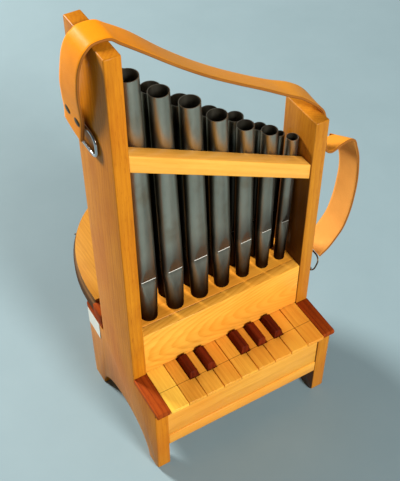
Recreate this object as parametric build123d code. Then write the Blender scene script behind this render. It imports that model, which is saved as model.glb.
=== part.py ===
from build123d import *
import os
from math import atan, cos, degrees, hypot, pi, radians, sin

# A small portative organ, in millimetres.
# It is worn on a shoulder strap: the right hand plays nine naturals and five sharps,
# the left hand lifts the round ended bellows board behind the case.
# While it is modelled, X runs to the player's right, Y to the back and Z up from the floor.
# The middle of the case is at X zero and the front edge of the uprights at Y zero.
# At the end the whole part moves so that the middle of its footprint is the origin.

# keyboard
key_pitch = 22.0
natural_count = 9
key_gap = 0.8
key_top = 119.4
key_plate = 5.0
natural_overhang = 56.8
natural_head = 26.0
sharp_width = 11.5
sharp_cap_height = 8.5
sharp_back_gap = 1.2
sharp_slope = 1.4
sharp_bevel = 0.9
key_tail = 36.0
key_pivot = 28.0
pivot_seat = 0.3
# a sharp sits on the line after each of these naturals, counted from the left
sharp_after = (2, 3, 5, 6, 7)

# case
board = 15.8
left_height = 539.0
right_height = 388.0
left_depth = 74.0
right_depth = 53.0
base_depth = 115.5
base_height = 124.6
apron = 49.0
cheek_length = 55.5
cheek_height = 7.0
arch_rise = 43.0
front_foot = 23.0
rear_foot = 24.5
toe_round = 7.0
corner_round = 1.5

# front and chest boards
panel = 12.5
panel_gap = 1.0
name_setback = 0.8
toe_top = 184.0
toe_board_thickness = 12.0
slip_top_gap = 4.0
slip_setback = 1.5
slip_bottom = 60.3
slip_thickness = 12.0
rail_bottom = 43.3
rail_depth = 15.0
rail_setback = 0.3
floor_board = 9.0

# pipe rail across the uprights
pipe_rail_height = 19.0
pipe_rail_depth = 15.8
pipe_rail_setback = 1.5
pipe_rail_left = 435.0
pipe_rail_right = 335.0

# bellows
block_height = 16.4
block_depth = 21.0
block_gap = 2.0
bellows_half_width = 110.8
bellows_length = 156.0
bellows_board = 7.0
bellows_top_board = 8.0
bellows_fold_stack = 12.4
bellows_skin_gap = 0.3
bellows_fold_bulge = 3.0
bellows_hinge_gap = 0.6
peg_radius = 1.0
peg_length = 3.0
peg_angle = 41.0

# pipes, counted from the left; both rows stand on the same places
first_pipe = -79.3
last_pipe = 87.0
front_row = 25.0
rear_row = 44.4
tallest_pipe = 311.5
mouth_rise = 61.0
widest_pipe = 19.2
pipe_wall = 0.8
pipe_seat = 0.2
pipe_sides = 32
back_lean_share = 0.011
place_shares = (0.0, 0.193, 0.376, 0.545, 0.707, 0.861, 1.0)
front_height_shares = (1.0, 0.914, 0.84, 0.755, 0.675, 0.617, 0.552)
rear_height_shares = (0.963, 0.884, 0.804, 0.723, 0.665, 0.587, 0.523)
front_width_shares = (0.99, 0.97, 1.0, 0.974, 0.844, 0.802, 0.615)
rear_width_shares = (0.969, 0.938, 0.958, 0.875, 0.823, 0.646, 0.448)
front_side_lean_shares = (-0.011, -0.026, -0.029, -0.031, -0.013, 0.0, 0.029)
rear_side_lean_shares = (-0.011, -0.021, -0.03, -0.021, -0.012, 0.007, 0.024)
mouth_height_shares = (1.0, 0.975, 1.0, 0.966, 0.907, 0.938, 0.949)
# the foot's width and the broad and narrow widths at the mouth, as shares of the pipe's own width
toe_width_shares = (0.93, 0.95, 0.93, 0.82, 0.82, 0.82, 0.9)
mouth_spread_shares = (1.22, 1.22, 1.14, 1.09, 1.14, 1.09, 1.08)
mouth_narrow_share = 0.95
# the lips as shares of the pipe's width
lip_press_share = 0.135
lower_lip_share = 1.6
upper_lip_share = 1.0
cut_up_share = 0.12
mouth_chord_share = 0.7

# leather strap: a flat band down the left board, over the span and around the right board
strap_width = 32.5
strap_thickness = 2.6
strap_gap = 1.3
strap_bulge = 12.2
strap_left_hang = 111.2
strap_reach = 52.5
strap_right_hang = 210.6
strap_turn = 30.0
# beside the left board: out from it, down, back and turned about the run
strap_left_shares = (
    (0.56, 1.0, 0.864, 0.03), (0.6, 0.847, 0.807, 0.08), (0.77, 0.685, 0.735, 0.12),
    (0.96, 0.516, 0.661, 0.07), (1.0, 0.353, 0.593, 0.0), (0.934, 0.206, 0.535, -0.03),
    (0.713, 0.098, 0.49, -0.03), (0.328, 0.038, 0.47, -0.05), (0.148, 0.008, 0.47, -0.05),
    (-0.197, 0.0, 0.47, -0.05),
)
# between the boards: across, down, back and turned about the run
strap_span_shares = (
    (0.0, 0.0, 0.468, -0.04), (0.047, 0.041, 0.457, 0.03), (0.146, 0.14, 0.46, 0.08),
    (0.297, 0.309, 0.468, -0.06), (0.45, 0.464, 0.478, -0.16), (0.601, 0.599, 0.489, -0.24),
    (0.753, 0.722, 0.493, -0.26), (0.879, 0.819, 0.482, -0.18), (0.965, 0.873, 0.455, -0.07),
)
# over and beside the right board: out from it, down, back and turned about the run
strap_right_shares = (
    (-0.223, -0.057, 0.598, 0.05), (-0.042, -0.024, 0.536, 0.11), (0.063, 0.008, 0.447, 0.16),
    (0.171, 0.043, 0.343, 0.2), (0.187, 0.112, 0.345, 0.0), (0.164, 0.183, 0.351, -0.15),
    (0.19, 0.236, 0.358, -0.4), (0.28, 0.271, 0.362, -0.75), (0.423, 0.276, 0.368, -1.0),
    (0.613, 0.25, 0.372, -1.1), (0.68, 0.259, 0.374, -0.93), (0.747, 0.293, 0.377, -0.67),
    (0.87, 0.354, 0.377, -0.4), (0.956, 0.43, 0.377, -0.1), (1.0, 0.53, 0.377, 0.0),
    (0.985, 0.639, 0.377, 0.0), (0.937, 0.739, 0.377, 0.0), (0.832, 0.839, 0.377, 0.0),
    (0.69, 0.9, 0.377, 0.0), (0.49, 0.962, 0.377, 0.0), (0.27, 1.0, 0.377, 0.0),
)

# strap fittings: a thick ring in a staple on the left, a thin one in a screw eye on the right
left_bar = 3.0
left_ring_length = 48.0
left_ring_height = 26.0
left_ring_y = 50.0
left_ring_drop = 107.5
ring_round = 9.0
fitting_gap = 0.5
staple_width = 5.0
staple_leg = 1.0
right_bar = 1.8
right_ring_length = 38.0
right_ring_height = 23.1
right_ring_tilt = 23.0
right_ring_out = 8.95
right_ring_y = 20.0
right_ring_drop = 218.6
eye_y = 8.0
eye_hole = 1.7
eye_wire = 1.7

# worked out
inner_width = natural_count * key_pitch
inner = inner_width / 2
outer = inner + board
key_bottom = key_top - key_plate
cheek_bottom = key_top - cheek_height
toe_bottom = toe_top - toe_board_thickness
block_start = left_depth + block_gap
pipe_start = name_setback + panel
strap_lift = strap_thickness / 2 + strap_gap


def box(x0, x1, y0, y1, z0, z1):
    """A block between two corners."""
    return Pos((x0 + x1) / 2, (y0 + y1) / 2, (z0 + z1) / 2) * Box(x1 - x0, y1 - y0, z1 - z0)


def side_board(x0, height, depth):
    """One sawn side board with its step at the back and the arch between its feet."""
    outline = Polyline(
        (-apron, 0), (-apron, cheek_bottom), (0, cheek_bottom), (0, height),
        (depth, height), (depth, base_height), (base_depth, base_height), (base_depth, 0),
        close=True,
    )
    face = make_face(outline)
    face = fillet(face.vertices().sort_by(Axis.Y)[-2:], corner_round)
    face = fillet(face.vertices().group_by(Axis.Y)[0].sort_by(Axis.X)[0], toe_round)
    arch_half = (apron + base_depth - front_foot - rear_foot) / 2
    arch_middle = -apron + front_foot + arch_half
    face -= Pos(arch_middle, 0) * Ellipse(arch_half, arch_rise)
    side = Plane(origin=(x0, 0, 0), x_dir=(0, 1, 0), z_dir=(1, 0, 0))
    return extrude(side * face, board)


def pipe_rail():
    """The sloping rail in front of the pipes, cut plumb at both ends."""
    outline = Polyline(
        (-inner, pipe_rail_left - pipe_rail_height), (inner, pipe_rail_right - pipe_rail_height),
        (inner, pipe_rail_right), (-inner, pipe_rail_left), close=True,
    )
    front = Plane(origin=(0, pipe_rail_setback, 0), x_dir=(1, 0, 0), z_dir=(0, -1, 0))
    return extrude(front * make_face(outline), -pipe_rail_depth)


def line_after(count):
    """X of the line between a natural and the next one."""
    return -inner + count * key_pitch


def natural_key(index):
    """One natural: a full width head and a tail notched beside the sharps."""
    left, right = line_after(index) + key_gap / 2, line_after(index + 1) - key_gap / 2
    shift = sharp_width / 2 + key_gap
    tail_left = line_after(index) + shift if index in sharp_after else left
    tail_right = line_after(index + 1) - shift if index + 1 in sharp_after else right
    head_end = -natural_overhang + natural_head
    head = box(left, right, -natural_overhang, head_end, key_bottom, key_top)
    tail = box(tail_left, tail_right, head_end, key_tail, key_bottom, key_top)
    return head + tail


def sharp_key(after):
    """One sharp: a lever with a tapered, bevelled block on its front end."""
    middle = line_after(after)
    start = -natural_overhang + natural_head + key_gap
    half = sharp_width / 2
    lever = box(middle - half, middle + half, start, key_tail, key_bottom, key_top)
    length = -sharp_back_gap - start
    low = Pos(middle, start + length / 2, key_top) * Rectangle(sharp_width, length)
    top = Rectangle(sharp_width - 2 * sharp_slope, length - 2 * sharp_slope)
    high = Pos(middle, start + length / 2, key_top + sharp_cap_height) * top
    cap = loft([low, high], ruled=True)
    cap = chamfer(cap.edges().group_by(Axis.Z)[-1], sharp_bevel)
    return lever + cap


def key_cheek(x0):
    """The block that ends the keyboard, with a rounded front."""
    block = box(x0, x0 + board, -cheek_length, 0, cheek_bottom, key_top)
    nose = block.edges().filter_by(Axis.X).group_by(Axis.Y)[0]
    return fillet(nose, cheek_height / 3)


def bellows_outline(start, grow):
    """A straight sided board with a half round, slightly long, back end."""
    half = bellows_half_width + grow
    middle = block_start + block_depth + board
    back = block_start + block_depth + bellows_length + grow
    plain = make_face(Polyline((-half, start), (half, start), (half, middle), (-half, middle), close=True))
    end = Pos(0, middle) * Ellipse(half, back - middle)
    end &= Pos(0, middle + back / 2) * Rectangle(2 * outer, back)
    return plain + end


def bellows_slab(start, grow, bottom, thickness):
    """A slab of the bellows outline."""
    return extrude(Pos(0, 0, bottom) * bellows_outline(start, grow), thickness)


def pipe_ring(across, along, height):
    """One many sided section of a pipe, from its half widths."""
    turns = [2 * pi * i / pipe_sides for i in range(pipe_sides)]
    points = [(across * cos(turn), along * sin(turn)) for turn in turns]
    return Pos(0, 0, height) * make_face(Polyline(*points, close=True))


def lip_press(width, front, mouth, wall):
    """The wedge that presses both lips flat, set inward by a wall for the bore."""
    low = mouth - lower_lip_share * width
    high = mouth + upper_lip_share * width
    edge = wall - front
    outline = Polyline((edge, low), (edge + lip_press_share * width, mouth), (edge, high),
                       (-width, high), (-width, low), close=True)
    return extrude(Plane.YZ * make_face(outline), width, both=True)


def organ_pipe(index, width, height):
    """An open metal pipe on its foot: solid tapered foot, pressed lips, mouth and hollow body."""
    r = width / 2
    toe = toe_width_shares[index] * r
    across, along = mouth_spread_shares[index] * r, mouth_narrow_share * r
    mouth = mouth_height_shares[index] * mouth_rise
    top = pipe_ring(r, r, height)
    outside = loft([pipe_ring(toe, toe, 0), pipe_ring(across, along, mouth), top], ruled=True)
    narrow = pipe_ring(across - pipe_wall, along - pipe_wall, mouth)
    bore = loft([narrow, pipe_ring(r - pipe_wall, r - pipe_wall, height)], ruled=True)
    tube = outside - lip_press(width, along, mouth, 0) - (bore - lip_press(width, along, mouth, pipe_wall))
    chord = mouth_chord_share * across
    return tube - box(-chord, chord, -along, 0, mouth, mouth + cut_up_share * width)


def standing_pipe(index, row, width, height, side_lean):
    """A pipe set on the toe board at its place, leaning a little."""
    toe = toe_width_shares[index] * width / 2
    x = first_pipe + place_shares[index] * (last_pipe - first_pipe)
    base = toe_top + pipe_seat + toe * hypot(side_lean, back_lean_share)
    lean = Rot(-degrees(atan(back_lean_share)), degrees(atan(side_lean)), 0)
    return Pos(x, row, base) * lean * organ_pipe(index, width, height)


def bellows_peg(z):
    """The small peg in the edge of the bellows top board, toward its back left."""
    middle = block_start + block_depth + board
    back = block_start + block_depth + bellows_length
    x = -bellows_half_width * cos(radians(peg_angle))
    y = middle + (back - middle) * sin(radians(peg_angle))
    way = Vector(x / bellows_half_width**2, (y - middle) / (back - middle) ** 2, 0).normalized()
    place = Vector(x, y, z) - way * peg_length / 2
    return Plane(origin=place, z_dir=way) * extrude(Circle(peg_radius), peg_length * 3 / 2)


def strap_stations():
    """The middle of the strap and its turn, from the left ring to the right ring."""
    stations = []
    for out, down, back, turn in strap_left_shares:
        z = left_height + strap_lift - down * strap_left_hang
        stations.append((Vector(-outer - out * strap_bulge, back * left_depth, z), turn * strap_turn))
    for across, down, back, turn in strap_span_shares:
        z = left_height + strap_lift - down * (left_height - right_height)
        stations.append((Vector(-inner + across * inner_width, back * left_depth, z), turn * strap_turn))
    for out, down, back, turn in strap_right_shares:
        z = right_height + strap_lift - down * strap_right_hang
        stations.append((Vector(outer + out * strap_reach, back * right_depth, z), turn * strap_turn))
    return stations


def strap():
    """The shoulder strap: a flat band whose width lies level across its run before each turn."""
    stations = strap_stations()
    sections = []
    for i, (middle, turn) in enumerate(stations):
        before, after = stations[max(i - 1, 0)][0], stations[min(i + 1, len(stations) - 1)][0]
        run = (after - before).normalized()
        level = (Vector(0, 1, 0) - run * run.Y).normalized()
        width_way = level * cos(radians(turn)) + run.cross(level) * sin(radians(turn))
        plane = Plane(origin=middle, x_dir=width_way, z_dir=run)
        sections.append(plane * Rectangle(strap_width, strap_thickness))
    return loft(sections, ruled=True)


def oval_ring(middle, tilt, length, height, bar):
    """A long rounded ring of flat bar with its length along Y, its top tilted outward."""
    outline = Rectangle(length, height)
    outline = fillet(outline.vertices(), ring_round)
    lean = radians(tilt)
    side = Plane(origin=middle, x_dir=(0, 1, 0), z_dir=(cos(lean), 0, -sin(lean)))
    return extrude(side * (outline - offset(outline, -bar)), bar / 2, both=True)


def left_fitting():
    """The thick ring and, around its back end, the staple that holds it to the left board."""
    x = -outer - fitting_gap - left_bar / 2
    z = left_height - left_ring_drop
    ring = oval_ring((x, left_ring_y, z), 0, left_ring_length, left_ring_height, left_bar)
    bar_y = left_ring_y + (left_ring_length - left_bar) / 2
    room = left_bar / 2 + fitting_gap
    half = room + staple_leg
    low, high = z - staple_width / 2, z + staple_width / 2
    staple = box(x - half, -outer, bar_y - half, bar_y + half, low, high)
    return ring + (staple - box(x - room, -outer, bar_y - room, bar_y + room, low, high))


def right_fitting():
    """The thin ring and the screw eye that holds it to the right board."""
    middle = Vector(outer + right_ring_out, right_ring_y, right_height - right_ring_drop)
    ring = oval_ring(middle, right_ring_tilt, right_ring_length, right_ring_height, right_bar)
    lean = radians(right_ring_tilt)
    low_bar = middle - Vector(sin(lean), 0, cos(lean)) * (right_ring_height - right_bar) / 2
    across = Plane(origin=(low_bar.X, eye_y, low_bar.Z), z_dir=(0, 1, 0))
    eye = extrude(across * (Circle(eye_hole + eye_wire) - Circle(eye_hole)), eye_wire / 2, both=True)
    shank = box(outer, low_bar.X - eye_hole - eye_wire / 2, eye_y - eye_wire / 2, eye_y + eye_wire / 2,
                low_bar.Z - eye_wire / 2, low_bar.Z + eye_wire / 2)
    return ring + eye + shank


def build():
    """Every piece of the organ by its node name, before the final move."""
    pieces = {
        "left_side_board": side_board(-outer, left_height, left_depth),
        "right_side_board": side_board(inner, right_height, right_depth),
        "name_board": box(-inner, inner, name_setback, pipe_start, key_top + panel_gap, toe_top),
        "toe_board": box(-inner, inner, pipe_start, right_depth, toe_bottom, toe_top),
        "pipe_rail": pipe_rail(),
        "key_slip": box(-inner, inner, -apron + slip_setback, -apron + slip_setback + slip_thickness,
                        slip_bottom, key_bottom - slip_top_gap),
        "lower_rail": box(-inner, inner, -apron + rail_setback, -apron + rail_setback + rail_depth,
                          rail_bottom, slip_bottom),
        "left_key_cheek": key_cheek(-outer),
        "right_key_cheek": key_cheek(inner),
        "bottom_board": box(-inner, inner, -apron + rail_setback + rail_depth, base_depth - panel,
                            rail_bottom, rail_bottom + floor_board),
        "back_board": box(-inner, inner, base_depth - panel, base_depth, rail_bottom, base_height - panel),
        "base_top_board": box(-inner, inner, right_depth, base_depth, base_height - panel, base_height),
        "chest_back": box(-inner, inner, right_depth - panel, right_depth, base_height - panel, toe_bottom),
        "key_pivot_rail": box(-inner, inner, key_pivot, key_pivot + panel,
                              base_height - panel - board, key_bottom - pivot_seat),
    }
    block_end = block_start + block_depth
    pieces["bellows_block"] = box(-outer, outer, block_start, block_end, base_height + bellows_board,
                                  base_height + bellows_board + block_height)
    pieces["bellows_bottom_board"] = bellows_slab(block_start, 0, base_height, bellows_board)
    fold_start = block_end + bellows_skin_gap
    fold_bottom = base_height + bellows_board + bellows_skin_gap
    fold_height = bellows_fold_stack - 2 * bellows_skin_gap
    pieces["bellows_folds"] = bellows_slab(fold_start, bellows_fold_bulge, fold_bottom, fold_height)
    board_bottom = base_height + bellows_board + bellows_fold_stack
    plate = bellows_slab(block_end + bellows_hinge_gap, 0, board_bottom, bellows_top_board)
    pieces["bellows_top_board"] = plate + bellows_peg(board_bottom + bellows_top_board / 2)
    for index in range(natural_count):
        pieces[f"natural_key_{index + 1}"] = natural_key(index)
    for index, after in enumerate(sharp_after):
        pieces[f"sharp_key_{index + 1}"] = sharp_key(after)
    rows = (
        ("front", front_row, front_width_shares, front_height_shares, front_side_lean_shares),
        ("rear", rear_row, rear_width_shares, rear_height_shares, rear_side_lean_shares),
    )
    for name, row, widths, heights, leans in rows:
        for index, (width, height, side_lean) in enumerate(zip(widths, heights, leans)):
            pipe = standing_pipe(index, row, width * widest_pipe, height * tallest_pipe, side_lean)
            pieces[f"{name}_pipe_{index + 1}"] = pipe
    pieces["shoulder_strap"] = strap()
    pieces["left_strap_fitting"] = left_fitting()
    pieces["right_strap_fitting"] = right_fitting()
    return pieces


def main():
    os.makedirs("parts", exist_ok=True)
    pieces = build()
    boxes = [piece.bounding_box() for piece in pieces.values()]
    low = [min(getattr(b.min, axis) for b in boxes) for axis in "XYZ"]
    high = [max(getattr(b.max, axis) for b in boxes) for axis in "XYZ"]
    move = Pos(-(low[0] + high[0]) / 2, -(low[1] + high[1]) / 2, -low[2])
    print("low", low, "high", high, "moved by", move.position)
    for name, piece in pieces.items():
        export_step(move * piece, f"parts/{name}.step")


if __name__ == "__main__":
    main()
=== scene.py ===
from math import atan, cos, hypot, pi, radians, sin

import bmesh
import bpy
from mathutils import Matrix, Vector


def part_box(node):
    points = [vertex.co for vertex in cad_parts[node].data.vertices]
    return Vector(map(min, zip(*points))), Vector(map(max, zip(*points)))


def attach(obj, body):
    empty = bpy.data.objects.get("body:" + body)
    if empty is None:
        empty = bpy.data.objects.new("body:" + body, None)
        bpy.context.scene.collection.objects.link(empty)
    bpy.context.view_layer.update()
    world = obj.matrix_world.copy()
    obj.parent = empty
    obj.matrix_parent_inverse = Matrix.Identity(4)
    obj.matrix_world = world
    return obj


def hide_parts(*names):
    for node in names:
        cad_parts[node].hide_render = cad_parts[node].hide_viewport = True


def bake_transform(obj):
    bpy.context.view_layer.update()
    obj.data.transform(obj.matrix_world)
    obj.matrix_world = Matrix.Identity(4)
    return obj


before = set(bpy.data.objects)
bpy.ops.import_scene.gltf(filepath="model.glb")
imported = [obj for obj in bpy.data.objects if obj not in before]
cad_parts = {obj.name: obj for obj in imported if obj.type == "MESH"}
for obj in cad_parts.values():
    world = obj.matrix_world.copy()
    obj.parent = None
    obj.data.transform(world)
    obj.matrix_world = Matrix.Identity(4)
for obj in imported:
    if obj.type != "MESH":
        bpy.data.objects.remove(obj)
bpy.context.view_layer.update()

# The case's own frame: millimetres from the middle of the case, the front edge of the uprights and
# the floor.
MM = 0.001
left_board_low, left_board_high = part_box("left_side_board")
right_board_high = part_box("right_side_board")[1]
case_middle = (left_board_low[0] + right_board_high[0]) / 2
uprights_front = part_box("left_key_cheek")[1][1]
outer = (right_board_high[0] - left_board_low[0]) / 2 / MM
board = (left_board_high[0] - left_board_low[0]) / MM
inner = outer - board


def at(x, y, z):
    """A place given in the case's own millimetres, in metres in the shared frame."""
    return Vector((case_middle + x * MM, uprights_front + y * MM, z * MM))


def case_box(node):
    """A node's lowest and highest corners in the case's own millimetres."""
    low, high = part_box(node)
    move = (case_middle, uprights_front, 0.0)
    return [[(corner[i] - move[i]) / MM for i in range(3)] for corner in (low, high)]


# Node trees, for materials and for shapes

class Sock:
    """A number in a node tree: arithmetic on it writes Math nodes."""

    def __init__(self, tree, socket):
        self.tree, self.socket = tree, socket

    def math(self, operation, *others):
        return self.tree.add("ShaderNodeMath", {"operation": operation}, [self, *others])

    def __add__(self, other):
        return self.math("ADD", other)

    def __sub__(self, other):
        return self.math("SUBTRACT", other)

    def __mul__(self, other):
        return self.math("MULTIPLY", other)

    def __truediv__(self, other):
        return self.math("DIVIDE", other)

    def __rsub__(self, other):
        return self.tree.add("ShaderNodeMath", {"operation": "SUBTRACT"}, [other, self])

    __radd__, __rmul__ = __add__, __mul__

    def clamp(self):
        return self.tree.add("ShaderNodeClamp", {}, [self, 0.0, 1.0])

    def span(self, low, high):
        """0 below low, 1 above high and even between."""
        return ((self - low) / (high - low)).clamp()

    def smooth(self, low, high):
        """0 below low and 1 above high, with a soft step between."""
        sockets = {"Value": self, "From Min": low, "From Max": high}
        return self.tree.add("ShaderNodeMapRange", {"interpolation_type": "SMOOTHSTEP"}, sockets)


class Tree:
    """A node tree with one method that adds any node."""

    def __init__(self, tree):
        self.tree = tree

    def add(self, kind, settings, inputs, output=0):
        """A node: settings first, then the values or links of its sockets, by name or in order."""
        node = self.tree.nodes.new(kind)
        for name, value in settings.items():
            setattr(node, name, value)
        pairs = inputs.items() if isinstance(inputs, dict) else enumerate(inputs)
        for name, value in pairs:
            self.join(node.inputs[name], value)
        return Sock(self, node.outputs[output])

    def join(self, socket, value):
        if isinstance(value, Sock):
            self.tree.links.new(value.socket, socket)
        else:
            socket.default_value = value

    def vector(self, x, y, z):
        return self.add("ShaderNodeCombineXYZ", {}, [x, y, z])

    def split(self, vector):
        first = self.add("ShaderNodeSeparateXYZ", {}, [vector])
        return [Sock(self, first.socket.node.outputs[i]) for i in range(3)]


class Finish(Tree):
    """A material with one Principled shader."""

    def __init__(self, name):
        self.material = bpy.data.materials.new(name)
        self.material.use_nodes = True
        super().__init__(self.material.node_tree)
        self.shader = self.tree.nodes["Principled BSDF"]

    def set(self, **values):
        """Sockets of the Principled shader, named with underscores for spaces."""
        for name, value in values.items():
            self.join(self.shader.inputs[name.replace("_", " ")], value)

    def place(self):
        """Object coordinates, split into X, Y and Z."""
        return self.split(self.add("ShaderNodeTexCoord", {}, {}, "Object"))

    def noise(self, where, scale, detail=2.0, roughness=0.5):
        sockets = {"Vector": where, "Scale": scale, "Detail": detail, "Roughness": roughness}
        return self.add("ShaderNodeTexNoise", {"noise_dimensions": "3D"}, sockets)

    def mix(self, factor, first, second):
        """A mix of two colours."""
        node = self.tree.nodes.new("ShaderNodeMix")
        node.data_type = "RGBA"
        colours = [s for s in node.inputs if s.type == "RGBA"]
        self.join(node.inputs[0], factor)
        for socket, value in zip(colours, (first, second)):
            self.join(socket, value if isinstance(value, Sock) else (*value[:3], 1.0))
        return Sock(self, [s for s in node.outputs if s.type == "RGBA"][0])

    def bump(self, height, strength, distance):
        sockets = {"Height": height, "Strength": strength, "Distance": distance}
        return self.add("ShaderNodeBump", {}, sockets)


plank_shift, plank_tone = (0.9, 0.011), 0.55
score_edges = (0.00015, 0.00055)
# width and colour of the painted shade low on the right board's face towards the pipes
painted_shade_edge = 0.0006
painted_shade_brown = (0.050, 0.009, 0.002)


def wood(name, light, dark, grain, pith, lean, rings, seed, wobble=0.006, contrast=0.3, pores=0.25,
         gloss=0.32, plank=None, score=None, polish=0.06, painted_low_shade=None, slope=0.0):
    """Varnished wood. The rings are cones round a pith line beside the board, so a flat sawn face shows
    arched figure and an edge shows straight lines. slope turns the grain in the X Z plane.
    plank = (axis, width, start) gives each plank its own shift and tone. score = (axis, places) cuts thin
    dark lines across. dust = (side, low, high) paints shade, dark brown, on the face towards the pipes below
    a height."""
    f = Finish(name)
    spots = dict(zip("xyz", f.place()))
    if slope:
        x, z = spots["x"], spots["z"]
        spots["x"], spots["z"] = x * cos(slope) - z * sin(slope), x * sin(slope) + z * cos(slope)
    axes = dict(spots)
    along = axes.pop(grain)
    across, through = axes.values()
    shade = 0.0
    if plank:
        axis, width, start = plank
        count = ((spots[axis] - start) / width).math("FLOOR")
        jump = f.add("ShaderNodeTexWhiteNoise", {"noise_dimensions": "1D"}, {"W": count + seed})
        along = along + jump * plank_shift[0]
        across = across + jump * plank_shift[1]
        shade = (jump - 0.5) * plank_tone
    slow = f.vector(across * 9.0 + seed, through * 9.0, along * 3.0)
    drift = f.noise(slow, 1.0, 3.0, 0.55)
    ripple = f.noise(f.vector(across * 60.0, through * 60.0, along * 14.0 + seed), 1.0, 2.0)
    side = across - pith[0] + along * lean[0] + (drift - 0.5) * wobble * 4.0 + (ripple - 0.5) * wobble * 0.5
    deep = through - pith[1] + along * lean[1] + (drift - 0.5) * wobble
    radius = (side * side + deep * deep).math("SQRT")
    ring = (radius * rings + drift * 2.2).math("FRACT")
    late = ring.smooth(0.25, 0.9) * (1.0 - ring.smooth(0.91, 1.0))
    fibre = f.noise(f.vector(across * 800.0, through * 800.0, along * 34.0), 1.0, 3.0, 0.6)
    streak = f.noise(f.vector(across * 170.0, through * 170.0, along * 4.5 + seed), 1.0, 3.0)
    cloud = f.noise(f.vector(across * 26.0, through * 26.0, along * 16.0 + seed), 1.0, 3.0, 0.6)
    dash = f.noise(f.vector(across * 1500.0, through * 1500.0, along * 130.0), 1.0, 1.0)
    pore = dash.smooth(0.62, 0.74) * pores
    tone = late * contrast + (fibre - 0.5) * 0.95 + (streak - 0.5) * 0.8 + (cloud - 0.5) * 0.9 + pore + shade
    colour = f.mix((tone + 0.2).clamp(), light, dark)
    warm = f.noise(f.vector(across * 14.0, through * 14.0, along * 7.0 + 3.0 + seed), 1.0, 2.0)
    tint = [min(1.0, c * k) for c, k in zip(dark, (1.3, 0.95, 0.7))]
    colour = f.mix(warm.smooth(0.42, 0.72) * 0.35, colour, tint)
    height = fibre + pore * 2.0 + late * 0.4
    if score:
        axis, places = score
        for one in places:
            line = 1.0 - (spots[axis] - one).math("ABSOLUTE").smooth(*score_edges)
            colour = f.mix(line * 0.75, colour, [c * 0.25 for c in dark])
            height = height - line * 6.0
    # painted shade: the face towards the pipes goes dark brown below the given heights
    if painted_low_shade:
        side_face, low, high = painted_low_shade
        facing = 1.0 - spots["x"].smooth(side_face, side_face + painted_shade_edge)
        painted_shade_mask = facing * (1.0 - spots["z"].smooth(low, high))
        colour = f.mix(painted_shade_mask * 0.85, colour, painted_shade_brown)
    rough = gloss + (fibre - 0.5) * 0.10 + (warm - 0.5) * 0.08
    f.set(Base_Color=colour, Roughness=rough, Normal=f.bump(height, 0.16, 0.0004))
    f.set(Coat_Weight=polish, Coat_Roughness=0.2, Specular_IOR_Level=0.015 + 1.7 * polish)
    return f.material


# heights where the feet's painted shade and reflection fade out
painted_foot_band, mouth_start, mouth_end = (0.190, 0.250), (0.238, 0.247), (0.252, 0.290)
# where the painted shade between the pipe rows starts and ends, back from the uprights' front, and how far
# below the tops it fades in
rows_start, rows_end = (0.0185, 0.028), (0.042, 0.050)
below_tops = (0.006, 0.045)
pipe_top_line, pipe_top_slope = 0.429, 0.839


def pipe_metal():
    """Dull planished pipe metal: soft streaks, faint dents, bright cut lips, painted brown shade and
    reflection on the feet, dark mouths, and painted shade, near black, between the two rows below the tops."""
    f = Finish("pipe metal")
    x, y, z = f.place()
    cloud = f.noise(f.vector(x * 60.0, y * 60.0, z * 14.0), 1.0, 4.0, 0.6)
    drawn = f.noise(f.vector(x * 900.0, y * 900.0, z * 18.0), 1.0, 2.0)
    dents = f.noise(f.vector(x * 160.0, y * 160.0, z * 55.0), 1.0, 2.0)
    stain = f.noise(f.vector(x * 45.0, y * 45.0, z * 30.0 + 7.0), 1.0, 3.0).smooth(0.5, 0.78)
    colour = f.mix(cloud, (0.26, 0.24, 0.19), (0.53, 0.50, 0.41))
    colour = f.mix(stain * 0.45, colour, (0.26, 0.17, 0.09))
    # painted shade and brown reflection: the feet go near black brown, fading out between 190 and 250 mm up
    foot = 1.0 - (z + (cloud - 0.5) * 0.03).smooth(*painted_foot_band)
    colour = f.mix(foot * 0.97, colour, (0.024, 0.014, 0.008))
    mouth = z.smooth(*mouth_start) * (1.0 - z.smooth(*mouth_end))
    colour = f.mix(mouth * 0.6, colour, (0.085, 0.075, 0.066))
    # painted shade: near black between the two rows, from a little below the pipe tops downwards
    depth = (pipe_top_line - (x - case_middle) * pipe_top_slope) - z
    back = y - uprights_front
    between = back.smooth(*rows_start) * (1.0 - back.smooth(*rows_end))
    painted_row_shade = between * depth.smooth(*below_tops)
    colour = f.mix(painted_row_shade * 0.93, colour, (0.020, 0.015, 0.011))
    lip = f.add("ShaderNodeAttribute", {"attribute_name": "lip"}, {}, "Fac")
    colour = f.mix(lip * 0.95, colour, (0.95, 0.93, 0.86))
    rough = 0.29 + cloud * 0.12 + (drawn - 0.5) * 0.12 + lip * 0.25
    f.set(Base_Color=colour, Roughness=rough, Metallic=1.0, Specular_Tint=(0.4, 0.38, 0.34, 1.0))
    f.set(Normal=f.bump(dents + drawn * 0.15, 0.22, 0.0008))
    return f.material


# x bands of the painted shade on the flesh side by the left board and on the strap's face over the pipes
inside_shade_band, span_shade_band = (-0.112, -0.07), (-0.09, -0.03)


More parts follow.
